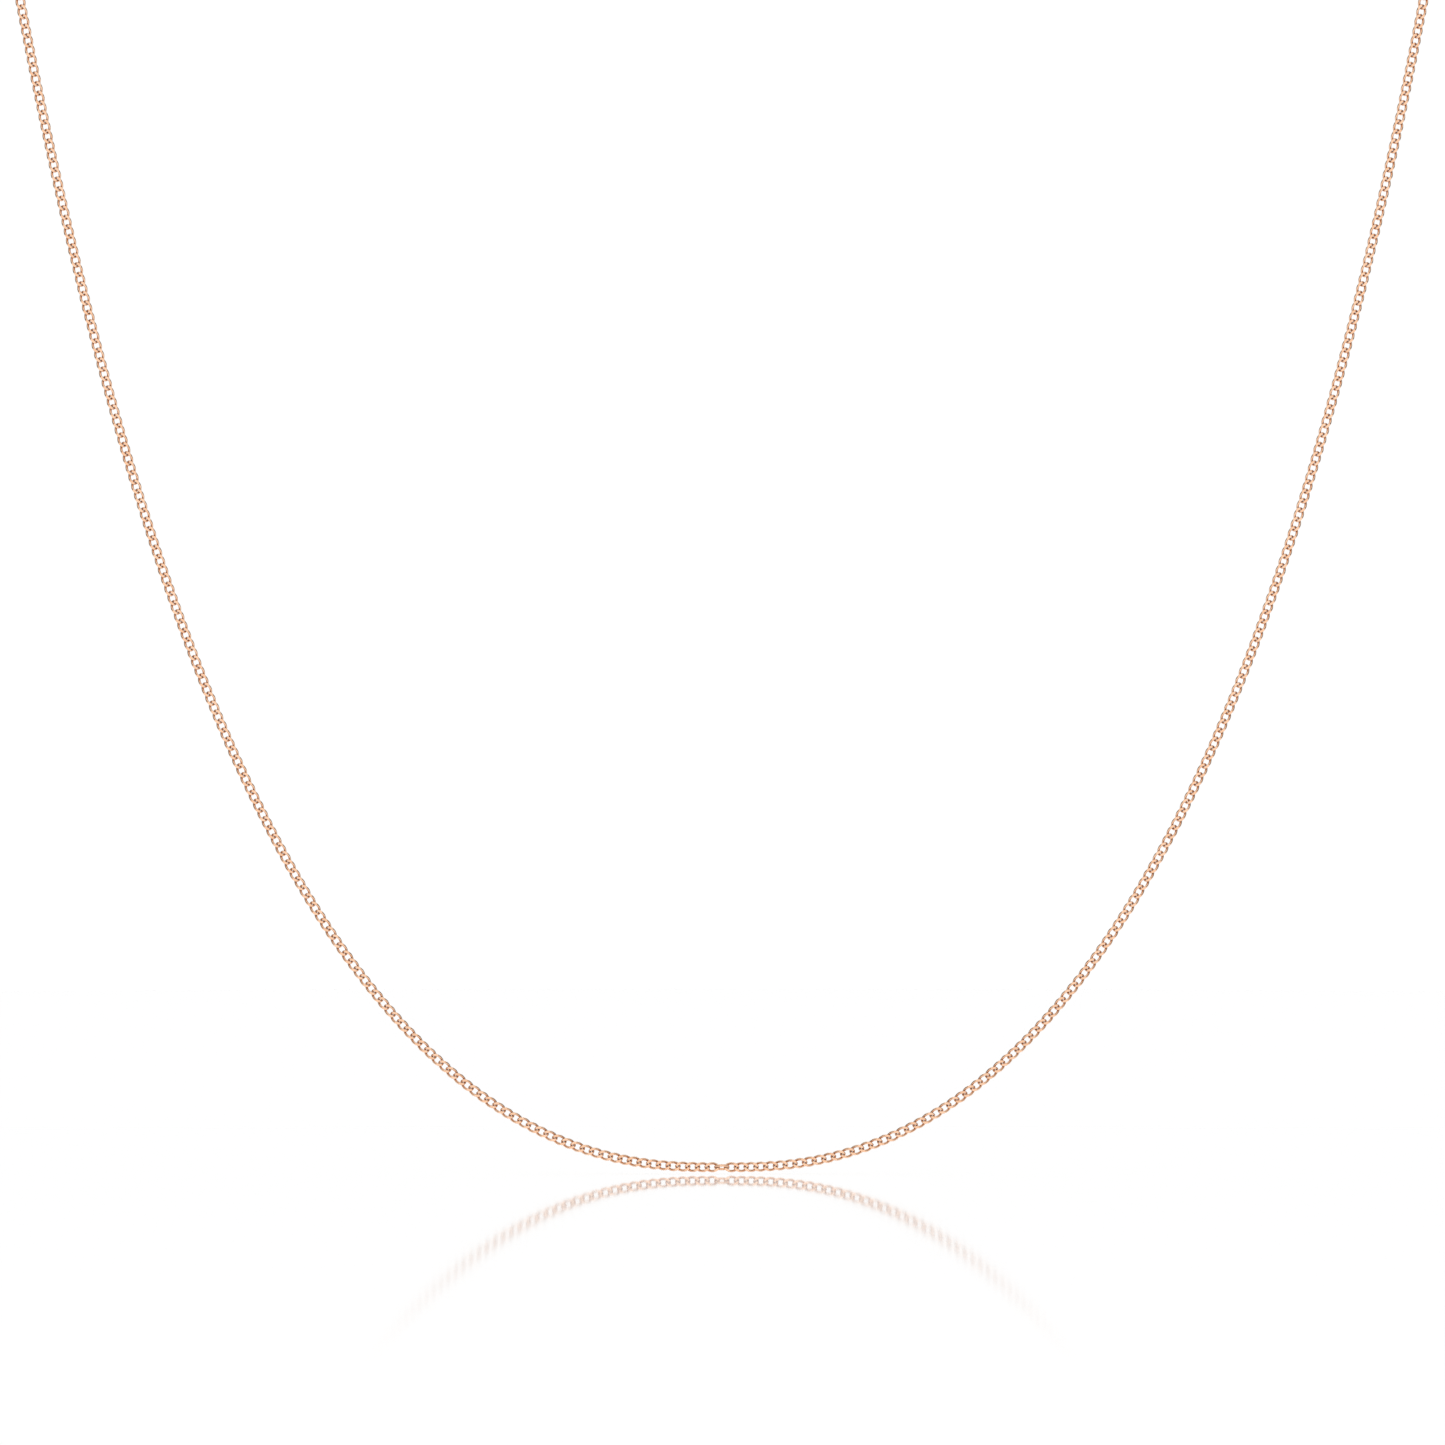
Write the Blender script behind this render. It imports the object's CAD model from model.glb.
import math

import bmesh
import bpy
import numpy as np
from mathutils import Matrix, Quaternion, Vector


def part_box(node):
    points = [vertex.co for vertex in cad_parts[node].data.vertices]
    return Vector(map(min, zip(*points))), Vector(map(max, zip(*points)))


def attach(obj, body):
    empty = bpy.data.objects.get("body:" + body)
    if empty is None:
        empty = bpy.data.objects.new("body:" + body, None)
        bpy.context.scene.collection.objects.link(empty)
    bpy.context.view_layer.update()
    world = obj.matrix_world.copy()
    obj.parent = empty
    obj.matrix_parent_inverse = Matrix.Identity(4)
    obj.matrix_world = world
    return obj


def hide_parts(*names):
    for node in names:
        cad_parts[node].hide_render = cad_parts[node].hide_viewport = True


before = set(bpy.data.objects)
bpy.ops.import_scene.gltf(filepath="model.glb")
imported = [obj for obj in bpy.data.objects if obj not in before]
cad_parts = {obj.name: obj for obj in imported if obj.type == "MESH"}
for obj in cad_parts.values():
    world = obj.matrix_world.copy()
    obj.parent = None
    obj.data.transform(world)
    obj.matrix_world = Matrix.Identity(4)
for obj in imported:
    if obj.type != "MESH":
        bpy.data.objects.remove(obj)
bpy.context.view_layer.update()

scene = bpy.context.scene
MM = 0.001

# ------------------------------------------------------------------ light levels
TOP_LEVEL, SIDE_LEVEL, FRONT_LEVEL = 0.96, 0.22, 1.12   # studio brightness above, at the sides, round the viewer
FLOOR_GLOW = 0.36                                     # the table is lit a little from below

# ------------------------------------------------------------------ camera
# The front drop hangs in one plane, seen square on through a long lens.
centre_low, centre_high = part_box("drop_centre_link")
lowest = (centre_low.z + centre_high.z) / 2          # centre line of the chain at its lowest point
drop_y = (centre_low.y + centre_high.y) / 2
SCALE = 9.0 / MM                                     # picture units per metre, 1445 across
VIEW_W = 1445 / SCALE
CENTRE_X = 0.66 / SCALE
CENTRE_Z = lowest + (1167.245 - 722.5) / SCALE
LENS, SENSOR = 200.0, 36.0
cam_data = bpy.data.cameras.new("camera")
cam_data.lens = LENS
cam_data.sensor_width = SENSOR
cam_data.dof.use_dof = False
camera = bpy.data.objects.new("camera", cam_data)
scene.collection.objects.link(camera)
distance = VIEW_W * LENS / SENSOR
camera.location = (CENTRE_X, drop_y - distance, CENTRE_Z)
camera.rotation_euler = (math.radians(90), 0, 0)
cam_data.clip_start, cam_data.clip_end = 0.02, 50.0
scene.camera = camera

# ------------------------------------------------------------------ the chain's line, as in the design
LINK_PITCH = 9.77 / 9.0
LINK_WIRE = 0.280
LINK_WIDTH = 1.13
LINK_PLAY = 0.09
LINK_END_R = 0.33
TWIST = math.radians(118.0)
LINK_FLAT = 0.52
DROP_A, DROP_C, DROP_B = 295.16 / 9.0, 51.93 / 9.0, 0.06341 * 9.0 / 1000.0
LINKS_PER_SIDE, FLAT_LINKS = 275, 157
NAPE_RISE, RISE_HANDLE, NAPE_HANDLE = 34.0, 30.0, 42.0
HINGE_LINKS = [154, 142, 130, 118, 106, 94, 82, 70, 58, 46, 34, 22]
NAPE_SPLIT = 214
RING_WIRE, JUMP_RING_R, CATCH_RING_R, RING_PLAY = 0.40, 1.00, 1.30, 0.03
EYE_R, EYE_WIRE, HOOK_X, HOOK_R, HOOK_WIRE = 0.85, 0.66, 5.40, 1.55, 0.92

A = (LINK_PITCH + LINK_WIRE + LINK_PLAY) / 2
B = (LINK_WIDTH - LINK_WIRE) / 2
R1 = LINK_END_R
R2 = ((A - R1) ** 2 + B * B - R1 * R1) / (2 * (B - R1))
T1 = math.atan2(R2 - B, A - R1)
L1 = R1 * T1
QUARTER = L1 + R2 * (math.pi / 2 - T1)


def oval(s):
    s %= 4 * QUARTER
    q = int(s // QUARTER)
    u = s - q * QUARTER
    if q in (1, 3):
        u = QUARTER - u
    if u < L1:
        t = u / R1
        x, y = A - R1 + R1 * math.cos(t), R1 * math.sin(t)
    else:
        t = T1 + (u - L1) / R2
        x, y = R2 * math.cos(t), B - R2 + R2 * math.sin(t)
    return (x if q in (0, 3) else -x), (y if q in (0, 1) else -y)


def slope(s):
    return math.atan((math.sqrt(s * s + DROP_C ** 2) - DROP_C) / DROP_A * (1 + DROP_B * s))


END_WIRE_X = (-EYE_R + EYE_WIRE / 2 + RING_WIRE / 2 + RING_PLAY - 2 * JUMP_RING_R
              + RING_WIRE / 2 + LINK_WIRE / 2 + RING_PLAY)
FAR_WIRE_X = (HOOK_X + HOOK_R - HOOK_WIRE / 2 - RING_WIRE / 2 - RING_PLAY + 2 * CATCH_RING_R
              - RING_WIRE / 2 - LINK_WIRE / 2 - RING_PLAY)
HALF_CLASP = (FAR_WIRE_X - END_WIRE_X) / 2
CLASP_X = -HALF_CLASP - END_WIRE_X
PATH_END_X = HALF_CLASP + (A - LINK_PITCH / 2)

flat_end = FLAT_LINKS * LINK_PITCH
steps = int(math.ceil(flat_end / 0.05))
h = flat_end / steps
drop = [(0.0, 0.0, 0.0)]
x = z = 0.0
for i in range(steps):
    f = slope((i + 0.5) * h)
    x += h * math.cos(f)
    z += h * math.sin(f)
    drop.append(((i + 1) * h, x, z))
path_length = (LINKS_PER_SIDE + 0.5) * LINK_PITCH
P0 = Vector((drop[-1][1], 0, drop[-1][2]))
T0 = Vector((math.cos(slope(flat_end)), 0, math.sin(slope(flat_end))))


def shoulder(depth, n=1200):
    p3 = Vector((PATH_END_X, depth, P0.z + NAPE_RISE))
    p1 = P0 + T0 * RISE_HANDLE
    p2 = p3 + Vector((NAPE_HANDLE, 0, 0))
    t = np.linspace(0, 1, n + 1)[:, None]
    u = 1 - t
    return np.array(P0) * u ** 3 + np.array(p1) * (3 * u * u * t) + np.array(p2) * (3 * u * t * t) + np.array(p3) * t ** 3


lo, hi = 20.0, 140.0
for _ in range(50):
    mid = (lo + hi) / 2
    if np.linalg.norm(np.diff(shoulder(mid), axis=0), axis=1).sum() < path_length - flat_end:
        lo = mid
    else:
        hi = mid
NAPE_DEPTH = (lo + hi) / 2
back = shoulder(NAPE_DEPTH)
nape = np.array((0, NAPE_DEPTH, P0.z + NAPE_RISE))


def turned(v, axis, angle):
    c, s = math.cos(angle), math.sin(angle)
    return v * c + np.cross(axis, v) * s + axis * np.dot(axis, v) * (1 - c)


table_s = [s for s, _, _ in drop]
table_p = [(x, 0, z) for _, x, z in drop]
table_n = [(0, -1, 0)] * len(drop)
s, normal, tang = flat_end, np.array((0.0, -1.0, 0.0)), np.array(T0)
raw = []
for i in range(1, len(back)):
    s += np.linalg.norm(back[i] - back[i - 1])
    new = back[min(i + 1, len(back) - 1)] - back[i - 1]
    new = new / np.linalg.norm(new)
    axis = np.cross(tang, new)
    size = np.linalg.norm(axis)
    if size > 1e-12:
        normal = turned(normal, axis / size, math.asin(min(1.0, size)))
    tang = new
    normal = normal - tang * np.dot(normal, tang)
    normal = normal / np.linalg.norm(normal)
    raw.append((s, back[i], normal.copy(), tang.copy()))
wanted = np.array((0, math.sqrt(0.5), math.sqrt(0.5)))
last_n, last_t = raw[-1][2], raw[-1][3]
wanted = wanted - last_t * np.dot(wanted, last_t)
wanted = wanted / np.linalg.norm(wanted)
extra = math.atan2(np.dot(last_t, np.cross(last_n, wanted)), np.dot(last_n, wanted))
for s, point, n, t in raw:
    f = (s - flat_end) / (raw[-1][0] - flat_end)
    f = f * f * (3 - 2 * f)
    table_s.append(s)
    table_p.append(tuple(point))
    table_n.append(tuple(turned(n, t, extra * f)))
table_s, table_p, table_n = np.array(table_s), np.array(table_p), np.array(table_n)


def at(s):
    p = np.array([np.interp(s, table_s, table_p[:, k]) for k in range(3)])
    n = np.array([np.interp(s, table_s, table_n[:, k]) for k in range(3)])
    return p - nape, n / np.linalg.norm(n)


def link_frame(n):
    """Columns x, y, z and centre of link n on the right side, in millimetres."""
    start, _ = at((n - 0.5) * LINK_PITCH)
    end, _ = at(min((n + 0.5) * LINK_PITCH, table_s[-1]))
    _, face = at(n * LINK_PITCH)
    x = (end - start) / np.linalg.norm(end - start)
    z = face - x * np.dot(face, x)
    z = z / np.linalg.norm(z)
    return np.array((x, np.cross(z, x), z)).T, (start + end) / 2


# ------------------------------------------------------------------ one link as a smooth wire ring
RING_STEPS, WIRE_STEPS = 44, 16


def link_mesh(twist, tilt=0.0):
    """Vertices (mm) and quads of a closed wire swept along the twisted oval."""
    def on_link(s):
        x, y = oval(s)
        th = tilt + twist * x / (2 * A)
        return np.array((x, y * math.cos(th), y * math.sin(th)))

    def tangent(s):
        v = on_link(s + 1e-4) - on_link(s - 1e-4)
        return v / np.linalg.norm(v)

    # the same eight tangent arcs the solid link is made of
    pts, tan = [], []
    for q in range(4):
        p0, p1 = on_link(q * QUARTER), on_link((q + 1) * QUARTER)
        t0, t1 = tangent(q * QUARTER), tangent((q + 1) * QUARTER)
        v, t = p1 - p0, t0 + t1
        c = 1.0 - np.dot(t0, t1)
        k = (-np.dot(v, t) + math.sqrt(np.dot(v, t) ** 2 + 2 * c * np.dot(v, v))) / (2 * c)
        q0, q1 = p0 + t0 * k, p1 - t1 * k
        mid = (q0 + q1) / 2
        for start, end, ahead in ((p0, mid, t0), (mid, p1, (q1 - q0) / np.linalg.norm(q1 - q0))):
            w = end - start
            n = np.cross(ahead, w)
            n /= np.linalg.norm(n)
            m = np.cross(n, ahead)
            r = np.dot(w, w) / (2 * np.dot(w, m))
            angle = 2 * math.asin(min(1.0, np.linalg.norm(w) / (2 * r)))
            count = max(4, round(RING_STEPS * r * angle / (4 * QUARTER)))
            for i in range(count):
                f = angle * i / count
                pts.append(start + m * r - turned(m * r, n, f))
                tan.append(turned(ahead, n, f))
    pts, tan = np.array(pts), np.array(tan)
    steps = len(pts)
    # a frame carried along the wire, with its closing error spread over the ring
    n = np.cross(tan[0], (0.3, 0.2, 0.9))
    n /= np.linalg.norm(n)
    frames = [n]
    for i in range(1, steps + 1):
        t0, t1 = tan[i - 1], tan[i % steps]
        axis = np.cross(t0, t1)
        size = np.linalg.norm(axis)
        n = frames[-1]
        if size > 1e-12:
            n = turned(n, axis / size, math.asin(min(1.0, size)))
        n = n - t1 * np.dot(n, t1)
        frames.append(n / np.linalg.norm(n))
    t = tan[0]
    err = math.atan2(np.dot(t, np.cross(frames[-1], frames[0])), np.dot(frames[-1], frames[0]))
    verts = []
    for i in range(steps):
        a = turned(frames[i], tan[i], err * i / steps)
        b = np.cross(tan[i], a)
        for j in range(WIRE_STEPS):
            w = 2 * math.pi * j / WIRE_STEPS
            verts.append(pts[i] + (a * math.cos(w) + b * math.sin(w)) * LINK_WIRE / 2)
    quads = []
    for i in range(steps):
        k = (i + 1) % steps
        for j in range(WIRE_STEPS):
            m = (j + 1) % WIRE_STEPS
            quads.append((i * WIRE_STEPS + j, k * WIRE_STEPS + j, k * WIRE_STEPS + m, i * WIRE_STEPS + m))
    return np.array(verts), np.array(quads)


def rolled(verts, quads):
    """The wire ring with the bulges on both faces rolled flat; returns verts and polygons, flat ones marked."""
    bm = bmesh.new()
    vs = [bm.verts.new(v) for v in verts]
    for q in quads:
        bm.faces.new([vs[i] for i in q])
    for sign in (1, -1):
        cut = bmesh.ops.bisect_plane(bm, geom=bm.verts[:] + bm.edges[:] + bm.faces[:], dist=1e-6,
                                     plane_co=(0, 0, sign * LINK_FLAT / 2), plane_no=(0, 0, sign), clear_outer=True)
        rim = [e for e in cut["geom_cut"] if isinstance(e, bmesh.types.BMEdge)]
        bmesh.ops.holes_fill(bm, edges=rim, sides=0)
    bmesh.ops.recalc_face_normals(bm, faces=bm.faces[:])
    bm.verts.ensure_lookup_table()
    bm.verts.index_update()
    out_v = np.array([tuple(v.co) for v in bm.verts])
    out_f = [[v.index for v in f.verts] for f in bm.faces]
    flat = [len(f.verts) > 6 for f in bm.faces]
    bm.free()
    return out_v, out_f, flat


LINK_V, LINK_F, LINK_FLATS = rolled(*link_mesh(TWIST))
PLAIN_V, PLAIN_Q = link_mesh(0.0, TWIST / 2)
PLAIN_F, PLAIN_FLATS = PLAIN_Q.tolist(), [False] * len(PLAIN_Q)
rng = np.random.default_rng(7)


def jitter():
    """Each link sits a hair off its neighbours, within the play of the chain."""
    a = rng.normal(0, math.radians(0.9), 3).clip(-0.03, 0.03)
    cx, sx, cy, sy, cz, sz = (math.cos(a[0]), math.sin(a[0]), math.cos(a[1] * 0.5), math.sin(a[1] * 0.5),
                              math.cos(a[2] * 0.5), math.sin(a[2] * 0.5))
    rx = np.array(((1, 0, 0), (0, cx, -sx), (0, sx, cx)))
    ry = np.array(((cy, 0, sy), (0, 1, 0), (-sy, 0, cy)))
    rz = np.array(((cz, -sz, 0), (sz, cz, 0), (0, 0, 1)))
    return rx @ ry @ rz


def build(name, blocks):
    """One object from many (verts, faces, flat marks, tone) blocks, in millimetres."""
    verts, faces, smooth, tones, base = [], [], [], [], 0
    for v, f, flat, tone in blocks:
        verts.append(v)
        faces.extend([[i + base for i in poly] for poly in f])
        smooth.extend([not k for k in flat])
        tones.append(np.full(len(v), tone, np.float32))
        base += len(v)
    verts = np.vstack(verts) * MM
    mesh = bpy.data.meshes.new(name)
    mesh.from_pydata(verts.tolist(), [], faces)
    mesh.polygons.foreach_set("use_smooth", np.array(smooth, bool))
    attr = mesh.attributes.new("tone", "FLOAT", "POINT")
    attr.data.foreach_set("value", np.concatenate(tones))
    mesh.update()
    obj = bpy.data.objects.new(name, mesh)
    scene.collection.objects.link(obj)
    return obj


# ------------------------------------------------------------------ materials
def new_material(name):
    m = bpy.data.materials.new(name)
    m.use_nodes = True
    nt = m.node_tree
    nt.nodes.clear()
    out = nt.nodes.new("ShaderNodeOutputMaterial")
    bsdf = nt.nodes.new("ShaderNodeBsdfPrincipled")
    nt.links.new(bsdf.outputs[0], out.inputs[0])
    return m, nt, bsdf


def gold(name, pale, deep, rough, scratch=0.0, grain=900.0, tone=False, crevice=0.0):
    """Polished rose gold: colour drifts a little between pale and deep, with faint polishing marks."""
    m, nt, bsdf = new_material(name)
    bsdf.inputs["Metallic"].default_value = 1.0
    coord = nt.nodes.new("ShaderNodeTexCoord")
    noise = nt.nodes.new("ShaderNodeTexNoise")
    noise.inputs["Scale"].default_value = grain
    noise.inputs["Detail"].default_value = 3.0
    nt.links.new(coord.outputs["Object"], noise.inputs["Vector"])
    ramp = nt.nodes.new("ShaderNodeValToRGB")
    ramp.color_ramp.elements[0].position, ramp.color_ramp.elements[0].color = 0.30, (*deep, 1)
    ramp.color_ramp.elements[1].position, ramp.color_ramp.elements[1].color = 0.72, (*pale, 1)
    source = noise.outputs["Fac"]
    if tone:
        attr = nt.nodes.new("ShaderNodeAttribute")
        attr.attribute_name = "tone"
        add = nt.nodes.new("ShaderNodeMath")
        add.operation = "MULTIPLY_ADD"
        add.inputs[1].default_value = 0.28
        nt.links.new(attr.outputs["Fac"], add.inputs[0])
        nt.links.new(noise.outputs["Fac"], add.inputs[2])
        source = add.outputs[0]
    nt.links.new(source, ramp.inputs["Fac"])
    colour = ramp.outputs["Color"]
    if crevice:
        # polish never reaches the crevices where wires cross, and they stay brown
        hollow = nt.nodes.new("ShaderNodeAmbientOcclusion")
        hollow.samples = 6
        hollow.inputs["Distance"].default_value = crevice
        deepen = nt.nodes.new("ShaderNodeMapRange")
        deepen.interpolation_type = "SMOOTHSTEP"
        deepen.inputs["From Min"].default_value, deepen.inputs["From Max"].default_value = 0.30, 0.92
        deepen.inputs["To Min"].default_value, deepen.inputs["To Max"].default_value = 0.95, 0.0
        nt.links.new(hollow.outputs["AO"], deepen.inputs["Value"])
        brown = nt.nodes.new("ShaderNodeMix")
        brown.data_type = "RGBA"
        nt.links.new(deepen.outputs["Result"], brown.inputs[0])
        nt.links.new(colour, brown.inputs[6])
        brown.inputs[7].default_value = (0.27, 0.095, 0.035, 1)
        colour = brown.outputs[2]
    nt.links.new(colour, bsdf.inputs["Base Color"])
    fine = nt.nodes.new("ShaderNodeTexNoise")
    fine.inputs["Scale"].default_value = grain * 6
    fine.inputs["Detail"].default_value = 4.0
    nt.links.new(coord.outputs["Object"], fine.inputs["Vector"])
    rmap = nt.nodes.new("ShaderNodeMapRange")
    rmap.inputs["From Min"].default_value, rmap.inputs["From Max"].default_value = 0.3, 0.7
    rmap.inputs["To Min"].default_value, rmap.inputs["To Max"].default_value = rough * 0.75, rough * 1.35
    nt.links.new(fine.outputs["Fac"], rmap.inputs["Value"])
    nt.links.new(rmap.outputs["Result"], bsdf.inputs["Roughness"])
    if scratch:
        bump = nt.nodes.new("ShaderNodeBump")
        bump.inputs["Strength"].default_value = scratch
        bump.inputs["Distance"].default_value = 0.00001
        nt.links.new(fine.outputs["Fac"], bump.inputs["Height"])
        nt.links.new(bump.outputs["Normal"], bsdf.inputs["Normal"])
    return m


PALE, DEEP = (0.96, 0.63, 0.43), (0.90, 0.54, 0.34)
chain_gold = gold("chain_rose_gold", PALE, DEEP, 0.17, tone=True, crevice=0.00022)
ring_gold = gold("ring_rose_gold", PALE, DEEP, 0.15, scratch=0.10)
cast_gold = gold("cast_rose_gold", (0.96, 0.64, 0.44), (0.93, 0.60, 0.40), 0.16, scratch=0.05, grain=2600.0)

steel, snt, sbsdf = new_material("spring_steel")
sbsdf.inputs["Metallic"].default_value = 1.0
sc = snt.nodes.new("ShaderNodeTexCoord")
sn = snt.nodes.new("ShaderNodeTexNoise")
sn.inputs["Scale"].default_value = 2500.0
snt.links.new(sc.outputs["Object"], sn.inputs["Vector"])
sr = snt.nodes.new("ShaderNodeValToRGB")
sr.color_ramp.elements[0].color, sr.color_ramp.elements[1].color = (0.42, 0.42, 0.44, 1), (0.62, 0.62, 0.63, 1)
snt.links.new(sn.outputs["Fac"], sr.inputs["Fac"])
snt.links.new(sr.outputs["Color"], sbsdf.inputs["Base Color"])
sm = snt.nodes.new("ShaderNodeMapRange")
sm.inputs["To Min"].default_value, sm.inputs["To Max"].default_value = 0.25, 0.4
snt.links.new(sn.outputs["Fac"], sm.inputs["Value"])
snt.links.new(sm.outputs["Result"], sbsdf.inputs["Roughness"])

# ------------------------------------------------------------------ chain pieces
MIRROR = np.diag((-1.0, 1.0, 1.0))
LINK_B = [poly[::-1] for poly in LINK_F]


def strand(node, first, last, body_right, body_left=None):
    right, left = [], []
    for n in range(first, last + 1):
        m, c = link_frame(n)
        for side, out in (("right", right), ("left", left)):
            v = LINK_V @ (m @ jitter()).T + c
            f = LINK_F
            if side == "left":
                v = v @ MIRROR
                f = LINK_B
            out.append((v, f, LINK_FLATS, float(rng.random() - 0.5)))
    for side, blocks in (("right", right), ("left", left)):
        obj = build("links_%s_%s" % (node, side), blocks)
        obj.data.materials.append(chain_gold)
        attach(obj, body_right)
        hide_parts("%s_%s" % (node, side))


strand("drop_bottom", 1, HINGE_LINKS[-1] - 1, "drop_bottom")
for i in range(len(HINGE_LINKS) - 1):
    strand("drop_%02d" % (i + 1), HINGE_LINKS[i + 1], HINGE_LINKS[i] - 1, "drop_%02d" % (i + 1))
strand("shoulder", HINGE_LINKS[0], NAPE_SPLIT - 1, "neck")
strand("nape", NAPE_SPLIT, LINKS_PER_SIDE, "neck")
m = np.array(((1, 0, 0), (0, 0, -1), (0, 1, 0)), float)
centre = build("links_drop_centre_link", [(PLAIN_V @ m.T - nape, PLAIN_F, PLAIN_FLATS, 0.0)])
centre.data.materials.append(chain_gold)
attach(centre, "drop_bottom")
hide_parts("drop_centre_link")

for node, mat in (("jump_ring", ring_gold), ("catch_ring", ring_gold), ("clasp_body", cast_gold),
                  ("clasp_trigger", cast_gold), ("clasp_pin", ring_gold), ("clasp_spring", steel)):
    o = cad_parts[node]
    o.data.materials.clear()
    o.data.materials.append(mat)

# ------------------------------------------------------------------ floor and light
floor_z = lowest - (1174.0 - 1167.245) / SCALE
bpy.ops.mesh.primitive_circle_add(vertices=96, radius=0.62, fill_type="NGON", location=(0, drop_y, floor_z))
floor = bpy.context.object
floor.name = "floor"
fm, fnt, fbsdf = new_material("floor_white")
fbsdf.inputs["Base Color"].default_value = (0.90, 0.90, 0.90, 1)
fbsdf.inputs["Roughness"].default_value = 0.9
fbsdf.inputs["Specular IOR Level"].default_value = 0.0
fbsdf.inputs["Emission Color"].default_value = (1, 1, 1, 1)
fbsdf.inputs["Emission Strength"].default_value = FLOOR_GLOW
gloss = fnt.nodes.new("ShaderNodeBsdfGlossy")
gloss.inputs["Color"].default_value = (1, 1, 1, 1)
gloss.inputs["Roughness"].default_value = 0.05
fresnel = fnt.nodes.new("ShaderNodeFresnel")
fresnel.inputs["IOR"].default_value = 1.33
# the polish of the table is best under the chain and wears off towards its front
fcoord = fnt.nodes.new("ShaderNodeTexCoord")
fsep = fnt.nodes.new("ShaderNodeSeparateXYZ")
fnt.links.new(fcoord.outputs["Object"], fsep.inputs[0])
fade = fnt.nodes.new("ShaderNodeMapRange")
fade.interpolation_type = "SMOOTHSTEP"
fade.inputs["From Min"].default_value, fade.inputs["From Max"].default_value = -0.30, 0.0
fade.inputs["To Min"].default_value, fade.inputs["To Max"].default_value = 0.0, 1.0
fnt.links.new(fsep.outputs["Y"], fade.inputs["Value"])
share = fnt.nodes.new("ShaderNodeMath")
share.operation = "MULTIPLY"
fnt.links.new(fresnel.outputs[0], share.inputs[0])
fnt.links.new(fade.outputs["Result"], share.inputs[1])
mix = fnt.nodes.new("ShaderNodeMixShader")
fnt.links.new(share.outputs[0], mix.inputs[0])
out = [n for n in fnt.nodes if n.type == "OUTPUT_MATERIAL"][0]
fnt.links.new(fbsdf.outputs[0], mix.inputs[1])
fnt.links.new(gloss.outputs[0], mix.inputs[2])
fnt.links.new(mix.outputs[0], out.inputs[0])
floor.data.materials.append(fm)

# a plain soft studio: bright above, behind and round the viewer, dimmer at the sides
world = bpy.data.worlds.new("studio")
scene.world = world
world.use_nodes = True
wnt = world.node_tree
wnt.nodes.clear()
wout = wnt.nodes.new("ShaderNodeOutputWorld")
wcoord = wnt.nodes.new("ShaderNodeTexCoord")
sep = wnt.nodes.new("ShaderNodeSeparateXYZ")
wnt.links.new(wcoord.outputs["Generated"], sep.inputs[0])


def wmath(op, a, b=None):
    n = wnt.nodes.new("ShaderNodeMath")
    n.operation = op
    for i, v in enumerate((a, b)):
        if v is None:
            continue
        if isinstance(v, (int, float)):
            n.inputs[i].default_value = v
        else:
            wnt.links.new(v, n.inputs[i])
    return n.outputs[0]


def wstep(value, edge0, edge1, out0, out1):
    n = wnt.nodes.new("ShaderNodeMapRange")
    n.interpolation_type = "SMOOTHSTEP"
    n.inputs["From Min"].default_value, n.inputs["From Max"].default_value = edge0, edge1
    n.inputs["To Min"].default_value, n.inputs["To Max"].default_value = out0, out1
    wnt.links.new(value, n.inputs["Value"])
    return n.outputs["Result"]


height = wmath("ABSOLUTE", sep.outputs["Z"])
level = wstep(height, 0.35, 0.80, SIDE_LEVEL, TOP_LEVEL)
towards = wstep(sep.outputs["Y"], -0.97, -0.88, 1.0, 0.0)
level = wmath("ADD", wmath("MULTIPLY", level, wmath("SUBTRACT", 1.0, towards)), wmath("MULTIPLY", towards, FRONT_LEVEL))
behind = wstep(sep.outputs["Y"], 0.97, 0.988, 0.0, 1.0)
level = wmath("ADD", wmath("MULTIPLY", level, wmath("SUBTRACT", 1.0, behind)), behind)
dim = wnt.nodes.new("ShaderNodeBackground")
dim.inputs["Color"].default_value = (1, 1, 1, 1)
wnt.links.new(level, dim.inputs["Strength"])
white = wnt.nodes.new("ShaderNodeBackground")
white.inputs["Color"].default_value = (1, 1, 1, 1)
white.inputs["Strength"].default_value = 1.02
path = wnt.nodes.new("ShaderNodeLightPath")
wmix = wnt.nodes.new("ShaderNodeMixShader")
wnt.links.new(path.outputs["Is Camera Ray"], wmix.inputs[0])
wnt.links.new(dim.outputs[0], wmix.inputs[1])
wnt.links.new(white.outputs[0], wmix.inputs[2])
wnt.links.new(wmix.outputs[0], wout.inputs[0])

scene.view_settings.view_transform = "Standard"
scene.view_settings.look = "None"
